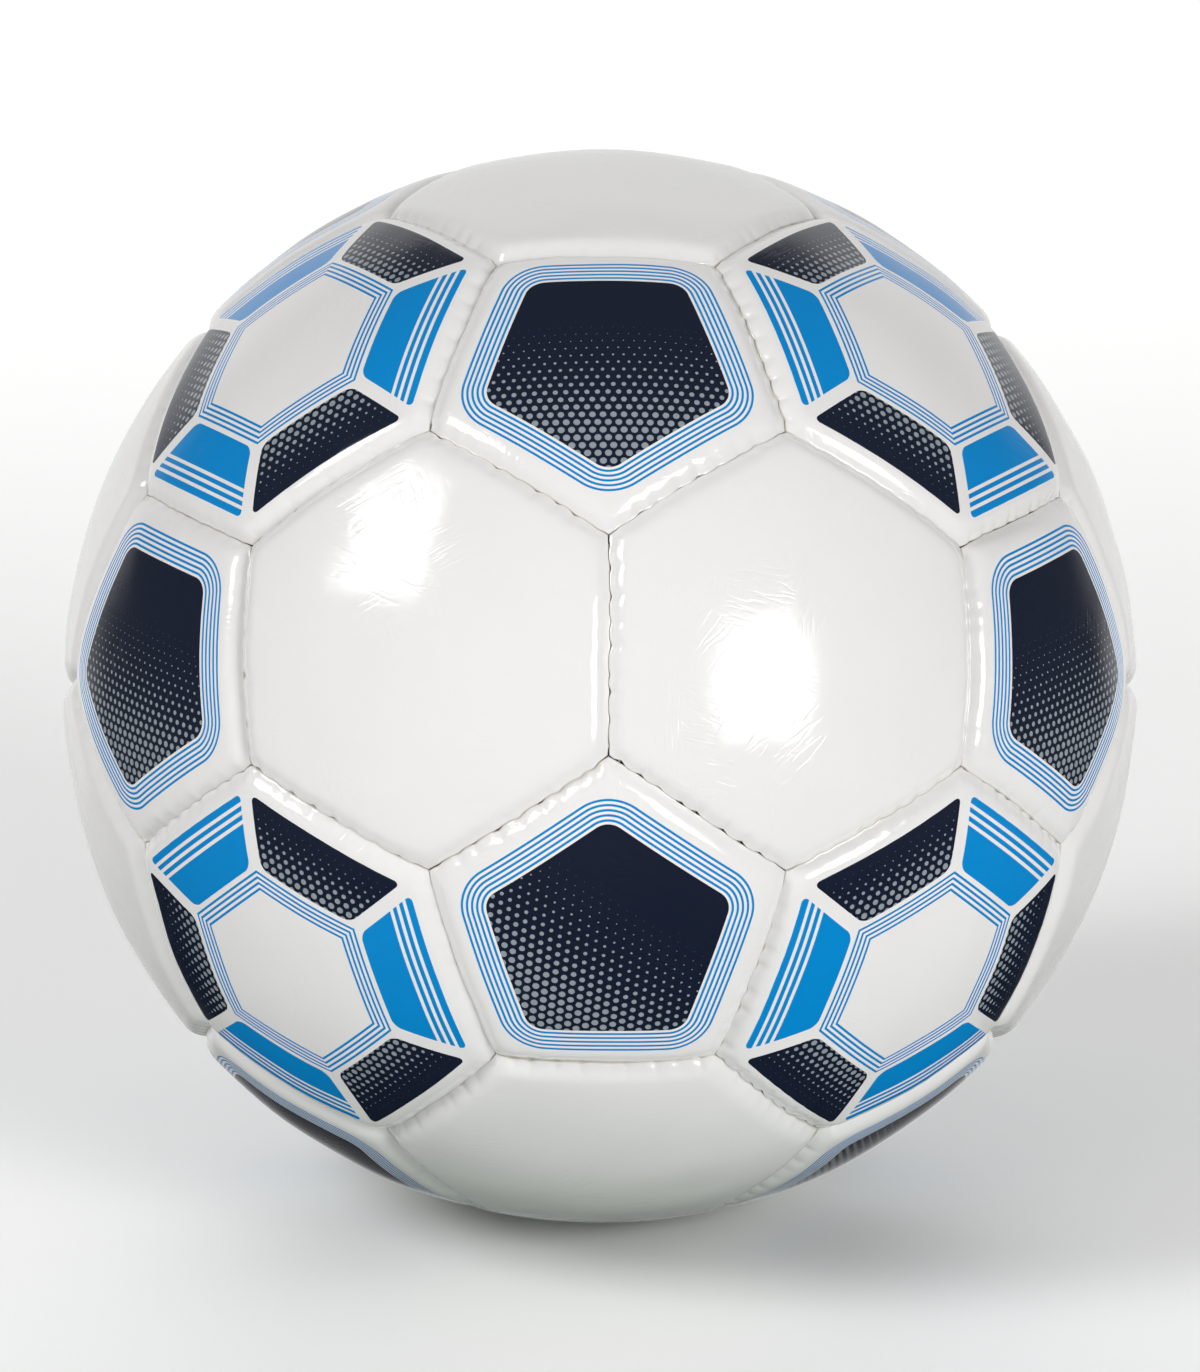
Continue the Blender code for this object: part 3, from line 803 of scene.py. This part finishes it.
def build_bladder(finish):
    """The bladder as a smooth skin over its CAD solid's corners."""
    made = bpy.data.objects.new("fine_bladder", NODES["bladder"].data.copy())
    bpy.context.scene.collection.objects.link(made)
    work = bmesh.new()
    work.from_mesh(made.data)
    bmesh.ops.remove_doubles(work, verts=work.verts, dist=WELD)
    work.to_mesh(made.data)
    work.free()
    made.data.shade_smooth()
    skin = made.modifiers.new("skin", "SUBSURF")
    skin.levels = 1
    skin.render_levels = 1
    made.data.materials.clear()
    made.data.materials.append(finish)
    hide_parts("bladder")
    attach(made, "ball")


def build_pellet(name, finish):
    """A capsule's loose steel ball, rounder than its CAD node."""
    points = node_points(name)
    middle = points.mean(0)
    radius = np.linalg.norm(points - middle, axis=1).max()
    work = bmesh.new()
    bmesh.ops.create_icosphere(
        work, subdivisions=PELLET_SUBDIVISIONS, radius=radius, matrix=Matrix.Translation(middle)
    )
    made = mesh_object(f"fine_{name}", [], [])
    work.to_mesh(made.data)
    work.free()
    made.data.shade_smooth()
    made.data.materials.append(finish)
    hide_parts(name)
    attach(made, name.replace("capsule_", ""))


class Graph:
    """The nodes of a material, a light or the world, built by short calls."""

    def __init__(self, owner):
        self.owner = owner
        owner.use_nodes = True
        self.tree = owner.node_tree

    def node(self, kind, **settings):
        """Adds a node."""
        made = self.tree.nodes.new(kind)
        for key, value in settings.items():
            setattr(made, key, value)
        return made

    def put(self, socket, value):
        """Sets a socket to a number or a colour, or links an output to it."""
        if isinstance(value, bpy.types.NodeSocket):
            self.tree.links.new(value, socket)
        elif isinstance(value, tuple) and len(value) == 3 and socket.type == "RGBA":
            socket.default_value = (*value, 1)
        else:
            socket.default_value = value

    def math(self, operation, *values):
        """One step of arithmetic."""
        made = self.node("ShaderNodeMath", operation=operation)
        for socket, value in zip(made.inputs, values):
            self.put(socket, value)
        return made.outputs[0]

    def mix(self, share, first, second):
        """One colour over another."""
        made = self.node("ShaderNodeMix", data_type="RGBA")
        self.put(made.inputs["Factor"], share)
        self.put(made.inputs[6], first)
        self.put(made.inputs[7], second)
        return made.outputs[2]

    def square(self, value):
        """A value times itself."""
        return self.math("MULTIPLY", value, value)

    def between(self, value, low, high):
        """1 where a value lies between two others, and 0 elsewhere."""
        above = self.math("GREATER_THAN", value, low)
        return self.math("MULTIPLY", above, self.math("LESS_THAN", value, high))

    def ramp(self, value, low, high, start, end):
        """A value carried smoothly from one range to another."""
        made = self.node("ShaderNodeMapRange", interpolation_type="SMOOTHSTEP")
        for socket, given in zip(made.inputs, (value, low, high, start, end)):
            self.put(socket, given)
        return made.outputs[0]

    def split(self, vector):
        """The three numbers of a vector."""
        made = self.node("ShaderNodeSeparateXYZ")
        self.put(made.inputs[0], vector)
        return tuple(made.outputs)

    def position(self):
        """Places on the object in metres."""
        return self.node("ShaderNodeTexCoord").outputs["Object"]

    def noise(self, scale, detail=3.0, roughness=0.5, place=None):
        """Noise over the object, with its scale in waves per metre."""
        made = self.node("ShaderNodeTexNoise")
        self.put(made.inputs["Vector"], place or self.position())
        for name, value in (("Scale", scale), ("Detail", detail), ("Roughness", roughness)):
            self.put(made.inputs[name], value)
        return made.outputs[0]

    def bump(self, height, distance, strength=1.0, before=None):
        """A bump of this height in metres, over an earlier one."""
        made = self.node("ShaderNodeBump")
        self.put(made.inputs["Height"], height)
        self.put(made.inputs["Distance"], distance)
        self.put(made.inputs["Strength"], strength)
        if before:
            self.put(made.inputs["Normal"], before)
        return made.outputs[0]

    def finish(self, shader="Principled BSDF", **inputs):
        """Sets the inputs of a shader by their names, with _ for spaces."""
        for name, value in inputs.items():
            self.put(self.tree.nodes[shader].inputs[name.replace("_", " ")], value)
        return self.owner


def new_material(name):
    """The nodes of a new material."""
    return Graph(bpy.data.materials.new(name))


def scaled(colour, share):
    """A colour made darker or lighter."""
    return tuple(share * part for part in colour)


def places(graph, name):
    """The two numbers of one of the panel's maps, in millimetres."""
    return graph.split(graph.node("ShaderNodeUVMap", uv_map=name).outputs[0])[:2]


def rounded(graph, first, second, radius):
    """Distance outside both of two outlines, with their corner rounded."""
    over_first = graph.math("MAXIMUM", graph.math("ADD", first, radius), 0.0)
    over_second = graph.math("MAXIMUM", graph.math("ADD", second, radius), 0.0)
    reach = graph.math("SQRT", graph.math("ADD", graph.square(over_first), graph.square(over_second)))
    return graph.math("SUBTRACT", reach, radius)


def polygon(graph, out, along, sides, apothem, radius):
    """Distance outside a polygon with rounded corners."""
    corner_along = (apothem - radius) * math.tan(math.pi / sides) + radius
    past_end = graph.math("SUBTRACT", graph.math("ABSOLUTE", along), corner_along)
    return rounded(graph, graph.math("SUBTRACT", out, apothem), past_end, radius)


def ring_piece(graph, out, along, inner, outer):
    """Distance outside one side's piece of a hexagonal ring, with a gap on to the next piece."""
    middle, half_width = (inner + outer) / 2, (outer - inner) / 2
    off_middle_line = graph.math("ABSOLUTE", graph.math("SUBTRACT", out, middle))
    past_side = graph.math("SUBTRACT", off_middle_line, half_width)
    to_next = graph.math("MULTIPLY", graph.math("ABSOLUTE", along), math.cos(math.pi / HEXAGON))
    from_next = graph.math("MULTIPLY", out, math.sin(math.pi / HEXAGON))
    past_end = graph.math("ADD", graph.math("SUBTRACT", to_next, from_next), RING_GAP / 2)
    return rounded(graph, past_side, past_end, RING_CORNER)


def pinstripes(graph, distance, start, count, pitch=PINSTRIPE_PITCH, width=PINSTRIPE_WIDTH):
    """Thin stripes beside an outline."""
    beyond = graph.math("SUBTRACT", distance, start)
    line = graph.math("LESS_THAN", graph.math("FLOORED_MODULO", beyond, pitch), width)
    return graph.math("MULTIPLY", line, graph.between(beyond, 0.0, pitch * count))


def off_middle(graph, value, step):
    """How far a value that counts steps is from the middle of its step, in millimetres."""
    return graph.math("MULTIPLY", graph.math("SUBTRACT", graph.math("FRACT", value), 0.5), step)


def dots(graph, across, along, size):
    """Staggered rows of dots whose size, from 0 to 1, may change over the panel."""
    rows = graph.math("DIVIDE", across, DOT_ROW)
    stagger = graph.math("MULTIPLY", graph.math("FLOORED_MODULO", graph.math("FLOOR", rows), 2.0), 0.5)
    steps = graph.math("ADD", graph.math("DIVIDE", along, DOT_STEP), stagger)
    off_row = graph.square(off_middle(graph, rows, DOT_ROW))
    off_step = graph.square(off_middle(graph, steps, DOT_STEP))
    reach = graph.math("SQRT", graph.math("ADD", off_row, off_step))
    return graph.math("LESS_THAN", reach, graph.math("MULTIPLY", size, DOT_RADIUS))


def creases(graph, lean, pitch, length, patch):
    """Bundles of fine creases, in patches: they lie where a stretched noise passes its middle value.

    The creases lean from the panel's own direction by an angle, and the other sizes are in metres.
    """
    place = graph.node("ShaderNodeAttribute", attribute_name="FlatPlace").outputs["Vector"]
    pulled = graph.node("ShaderNodeMapping", vector_type="TEXTURE")
    graph.put(pulled.inputs["Vector"], place)
    graph.put(pulled.inputs["Rotation"], (0.0, 0.0, lean))
    graph.put(pulled.inputs["Scale"], (length / pitch, 1.0, 1.0))
    field = graph.noise(1 / pitch, 1.5, place=pulled.outputs[0])
    off = graph.math("ABSOLUTE", graph.math("SUBTRACT", field, 0.5))
    line = graph.ramp(off, 0.0, CREASE_WIDTH, 1.0, 0.0)
    patches = graph.ramp(graph.noise(1 / patch, 2.0, place=place), *CREASE_PATCHES, 0.0, 1.0)
    return graph.math("MULTIPLY", line, patches)


def coat(graph, colour):
    """Gloss coat over a colour: warm grey and painted shade in the seams, creases in patches and slightly
    uneven gloss.
    """
    edge = graph.node("ShaderNodeAttribute", attribute_name="SeamDepth")
    # painted shade in the seams, partly the edges' own warm grey
    colour = graph.mix(edge.outputs["Fac"], colour, SEAM_SHADE)
    normal = None
    for lean, pitch, length, patch, depth in CREASES:
        normal = graph.bump(creases(graph, lean, pitch, length, patch), -depth, before=normal)
    normal = graph.bump(graph.noise(COAT_WAVES, 2.0), COAT_WAVE_HEIGHT, before=normal)
    normal = graph.bump(graph.noise(COAT_GRAIN, 2.0), COAT_GRAIN_HEIGHT, 0.5, normal)
    gloss = graph.ramp(graph.noise(60.0, 4.0), 0.3, 0.7, *COAT_ROUGHNESS)
    return graph.finish(Base_Color=colour, Roughness=gloss, Normal=normal, IOR=COAT_IOR)


def white_colour(graph):
    """The cover's white, slightly uneven."""
    return graph.mix(graph.noise(40.0, 4.0), WHITE, scaled(WHITE, WHITE_SHADE))


def plain_finish():
    """Bare white panels."""
    graph = new_material("white_cover")
    return coat(graph, white_colour(graph))


def pentagon_finish():
    """A rounded navy pentagon, with grey dots that shrink upwards, and blue pinstripes round it."""
    graph = new_material("pentagon_print")
    out, along = places(graph, "PanelMap")
    up, across = places(graph, "PlaneMap")
    outline = polygon(graph, out, along, PENTAGON, PENTAGON_APOTHEM, PENTAGON_CORNER)
    lines = pinstripes(graph, outline, PINSTRIPE_PITCH - PINSTRIPE_WIDTH, PENTAGON_PINSTRIPES)
    colour = graph.mix(lines, white_colour(graph), BLUE)
    full, gone = (share * PENTAGON_APOTHEM for share in DOTTED)
    size = graph.ramp(up, full, gone, 1.0, 0.0)
    ink = graph.mix(dots(graph, up, across, size), NAVY, GREY)
    colour = graph.mix(graph.math("LESS_THAN", outline, 0.0), colour, ink)
    return coat(graph, colour)


def ring_finish():
    """Hexagons with a ring in six pieces, blue with white stripes and dotted navy in turn."""
    graph = new_material("ring_print")
    out, along = places(graph, "PanelMap")
    odd = graph.node("ShaderNodeAttribute", attribute_name="PanelSide").outputs["Fac"]
    to_ring = graph.math("SUBTRACT", RING_INNER, out)
    lines = pinstripes(graph, to_ring, PINSTRIPE_PITCH, RING_PINSTRIPES)
    colour = graph.mix(lines, white_colour(graph), BLUE)
    depth = graph.math("SUBTRACT", RING_OUTER, out)
    stripes = pinstripes(graph, depth, STRIPE_START, STRIPES, STRIPE_PITCH, STRIPE_WIDTH)
    blue_ink = graph.mix(stripes, BLUE, white_colour(graph))
    size = graph.ramp(out, RING_INNER, RING_OUTER, 1.0, 0.0)
    navy_ink = graph.mix(dots(graph, out, along, size), NAVY, GREY)
    piece = ring_piece(graph, out, along, RING_INNER, RING_OUTER)
    colour = graph.mix(graph.math("LESS_THAN", piece, 0.0), colour, graph.mix(odd, blue_ink, navy_ink))
    return coat(graph, colour)


def thread_finish():
    """Waxed thread."""
    graph = new_material("waxed_thread")
    colour = graph.mix(graph.noise(2500.0, 2.0), THREAD_LIGHT, THREAD_DARK)
    normal = graph.bump(graph.noise(5000.0, 2.0), 0.05 * MM, 0.6)
    return graph.finish(Base_Color=colour, Roughness=0.55, Normal=normal)


def rubber_finish(name, colour):
    """Dull moulded rubber with a slight bloom."""
    graph = new_material(name)
    bloom = graph.ramp(graph.noise(90.0, 5.0), 0.4, 0.75, 0.0, 0.35)
    shade = graph.mix(bloom, colour, scaled(colour, RUBBER_BLOOM))
    normal = graph.bump(graph.noise(3000.0, 3.0), 0.03 * MM, 0.5)
    gloss = graph.ramp(graph.noise(200.0, 3.0), 0.3, 0.7, 0.48, 0.62)
    return graph.finish(Base_Color=shade, Roughness=gloss, Normal=normal)


def metal_finish(name, colour, roughness):
    """Bare metal with fine scratches and stains."""
    graph = new_material(name)
    shade = graph.mix(graph.noise(150.0, 5.0), colour, scaled(colour, STAIN))
    normal = graph.bump(graph.noise(2500.0, 4.0, 0.7), 0.01 * MM, 0.5)
    gloss = graph.ramp(graph.noise(400.0, 4.0), 0.3, 0.7, 0.8 * roughness, 1.25 * roughness)
    return graph.finish(Base_Color=shade, Roughness=gloss, Normal=normal, Metallic=1.0)


def cloth_finish(name, colour):
    """Plain-woven fabric, painted darker where the weave lies low: painted shade in its hollows."""
    graph = new_material(name)
    x, y, z = (
        graph.math("SINE", graph.math("MULTIPLY", part, math.tau / WEAVE_PITCH))
        for part in graph.split(graph.position())
    )
    weave = graph.math("MULTIPLY", graph.math("MULTIPLY", x, y), z)
    # darker where the weave lies low, as its bump does: painted shade
    shade = graph.mix(graph.ramp(weave, -0.6, 0.6, 0.0, 1.0), scaled(colour, CLOTH_HOLLOW_SHADE), colour)
    normal = graph.bump(weave, 0.08 * MM, 0.7)
    return graph.finish(Base_Color=shade, Roughness=0.85, Normal=normal)


def camera_axes():
    """The camera's right, up and back directions."""
    back = Vector((
        math.sin(CAMERA_AZIMUTH) * math.cos(CAMERA_ELEVATION),
        -math.cos(CAMERA_AZIMUTH) * math.cos(CAMERA_ELEVATION),
        math.sin(CAMERA_ELEVATION),
    ))
    level = Vector((math.cos(CAMERA_AZIMUTH), math.sin(CAMERA_AZIMUTH), 0))
    steep = back.cross(level)
    right = level * math.cos(CAMERA_ROLL) + steep * math.sin(CAMERA_ROLL)
    up = steep * math.cos(CAMERA_ROLL) - level * math.sin(CAMERA_ROLL)
    return right, up, back


def frame_matrix(right, up, back, place):
    """A matrix from three directions and a place."""
    matrix = Matrix((right, up, back)).transposed().to_4x4()
    matrix.translation = place
    return matrix


def build_camera():
    """The camera at the photograph's angle."""
    right, up, back = camera_axes()
    camera = bpy.data.objects.new("camera", bpy.data.cameras.new("camera"))
    bpy.context.scene.collection.objects.link(camera)
    camera.data.lens = CAMERA_LENS
    camera.data.sensor_width = SENSOR_WIDTH
    camera.matrix_world = frame_matrix(right, up, back, Vector(CENTRE) + CAMERA_DISTANCE * back)
    bpy.context.scene.camera = camera


def build_softbox(name, heading, radiance):
    """One soft box, facing the ball."""
    right, up, back = camera_axes()
    towards = (heading[0] * right + heading[1] * up + heading[2] * back).normalized()
    side = up.cross(towards).normalized()
    made = area_light(name, SOFTBOX_WIDTH, SOFTBOX_HEIGHT, radiance)
    fade_edges(made.data)
    place = Vector(CENTRE) + SOFTBOX_DISTANCE * towards
    made.matrix_world = frame_matrix(side, towards.cross(side), towards, place)


def build_back_fill():
    """A light for the far side of the ball, which the gloss doesn't mirror."""
    towards = Vector(BACK_FILL)
    side = Vector((0, 0, 1)).cross(towards).normalized()
    made = area_light("back_fill", BACK_FILL_SIZE, BACK_FILL_SIZE, BACK_FILL_RADIANCE)
    place = Vector(CENTRE) + SOFTBOX_DISTANCE * towards
    made.matrix_world = frame_matrix(side, towards.cross(side), towards, place)
    made.visible_glossy = False
    made.visible_camera = False


def fade_edges(light):
    """Makes a light brightest in its middle, with the same light in all."""
    graph = Graph(light)
    place = graph.split(graph.node("ShaderNodeNewGeometry").outputs["Parametric"])
    shares = []
    for part in place[:2]:
        to_edge = graph.math("PINGPONG", part, 0.5)
        shares.append(graph.ramp(to_edge, 0.0, EDGE_FADE, 0.0, 1 / (1 - EDGE_FADE)))
    graph.finish("Emission", Strength=graph.math("MULTIPLY", *shares))


def area_light(name, width, height, radiance):
    """A rectangular light of an even radiance, which takes four times its area in power."""
    light = bpy.data.lights.new(name, "AREA")
    light.shape = "RECTANGLE"
    light.size = width
    light.size_y = height
    light.energy = 4 * width * height * radiance
    made = bpy.data.objects.new(name, light)
    bpy.context.scene.collection.objects.link(made)
    return made


def build_floor():
    """A plain pale floor with lights of its own that leave the ball alone; bounced light sees it darker
    near the ball, as painted shade.
    """
    half = FLOOR_SIZE / 2
    corners = [(-half, -half, 0), (half, -half, 0), (half, half, 0), (-half, half, 0)]
    floor = mesh_object("floor", corners, [(0, 1, 2, 3)])
    graph = new_material("floor")
    pale = graph.mix(graph.noise(3.0, 2.0), FLOOR_PALE, FLOOR_SHADE)
    off_foot = graph.node("ShaderNodeVectorMath", operation="LENGTH")
    graph.put(off_foot.inputs[0], graph.position())
    # near the ball, bounced light sees the floor darker and greenish: painted shade for the ball's
    # underside
    under = graph.ramp(off_foot.outputs["Value"], *BOUNCE_REACH, 1.0, 0.0)
    bounce_shade_share = graph.math("MULTIPLY", under, graph.node("ShaderNodeLightPath").outputs["Is Diffuse Ray"])
    colour = graph.mix(bounce_shade_share, pale, PAINTED_BOUNCE_SHADE)
    floor.data.materials.append(graph.finish(Base_Color=colour, Roughness=FLOOR_ROUGHNESS))
    floor.visible_glossy = False
    lit = bpy.data.collections.new("lit_floor")
    lit.objects.link(floor)
    for number in range(FLOOR_LIGHTS):
        turn = math.tau * number / FLOOR_LIGHTS
        name = f"floor_light_{number}"
        above = area_light(name, FLOOR_LIGHT_SIZE, FLOOR_LIGHT_SIZE, FLOOR_LIGHT_RADIANCE)
        x, y = FLOOR_LIGHT_RING * math.sin(turn), FLOOR_LIGHT_RING * math.cos(turn)
        above.location = (x, y, FLOOR_LIGHT_HEIGHT)
        above.light_linking.receiver_collection = lit
        above.visible_camera = False


def build_world():
    """White surroundings: brighter behind the ball than in front of it, and dark below it for the gloss."""
    graph = Graph(bpy.data.worlds.new("studio"))
    _, back, up = graph.split(graph.node("ShaderNodeTexCoord").outputs["Generated"])
    mirrored = graph.node("ShaderNodeLightPath").outputs["Is Glossy Ray"]
    front = graph.math("MULTIPLY_ADD", mirrored, REFLECTED_LEVEL - FRONT_LEVEL, FRONT_LEVEL)
    level = graph.ramp(back, *BACKDROP_EDGE, front, BACK_LEVEL)
    low = graph.ramp(up, *LOW_EDGE, LOW_LEVEL, 1.0)
    strength = graph.math("MULTIPLY", level, low)
    bpy.context.scene.world = graph.finish("Background", Color=(1.0, 1.0, 1.0), Strength=strength)


build_camera()
build_world()
build_softbox("left_box", LEFT_BOX, LEFT_RADIANCE)
build_softbox("right_box", RIGHT_BOX, RIGHT_RADIANCE)
build_back_fill()
build_floor()
FINISHES = {"plain": plain_finish(), "pentagon": pentagon_finish(), "ring": ring_finish()}
SEAMS = build_panels(FINISHES)
build_thread(SEAMS, thread_finish())
build_inside()
bpy.context.scene.view_settings.view_transform = "Standard"
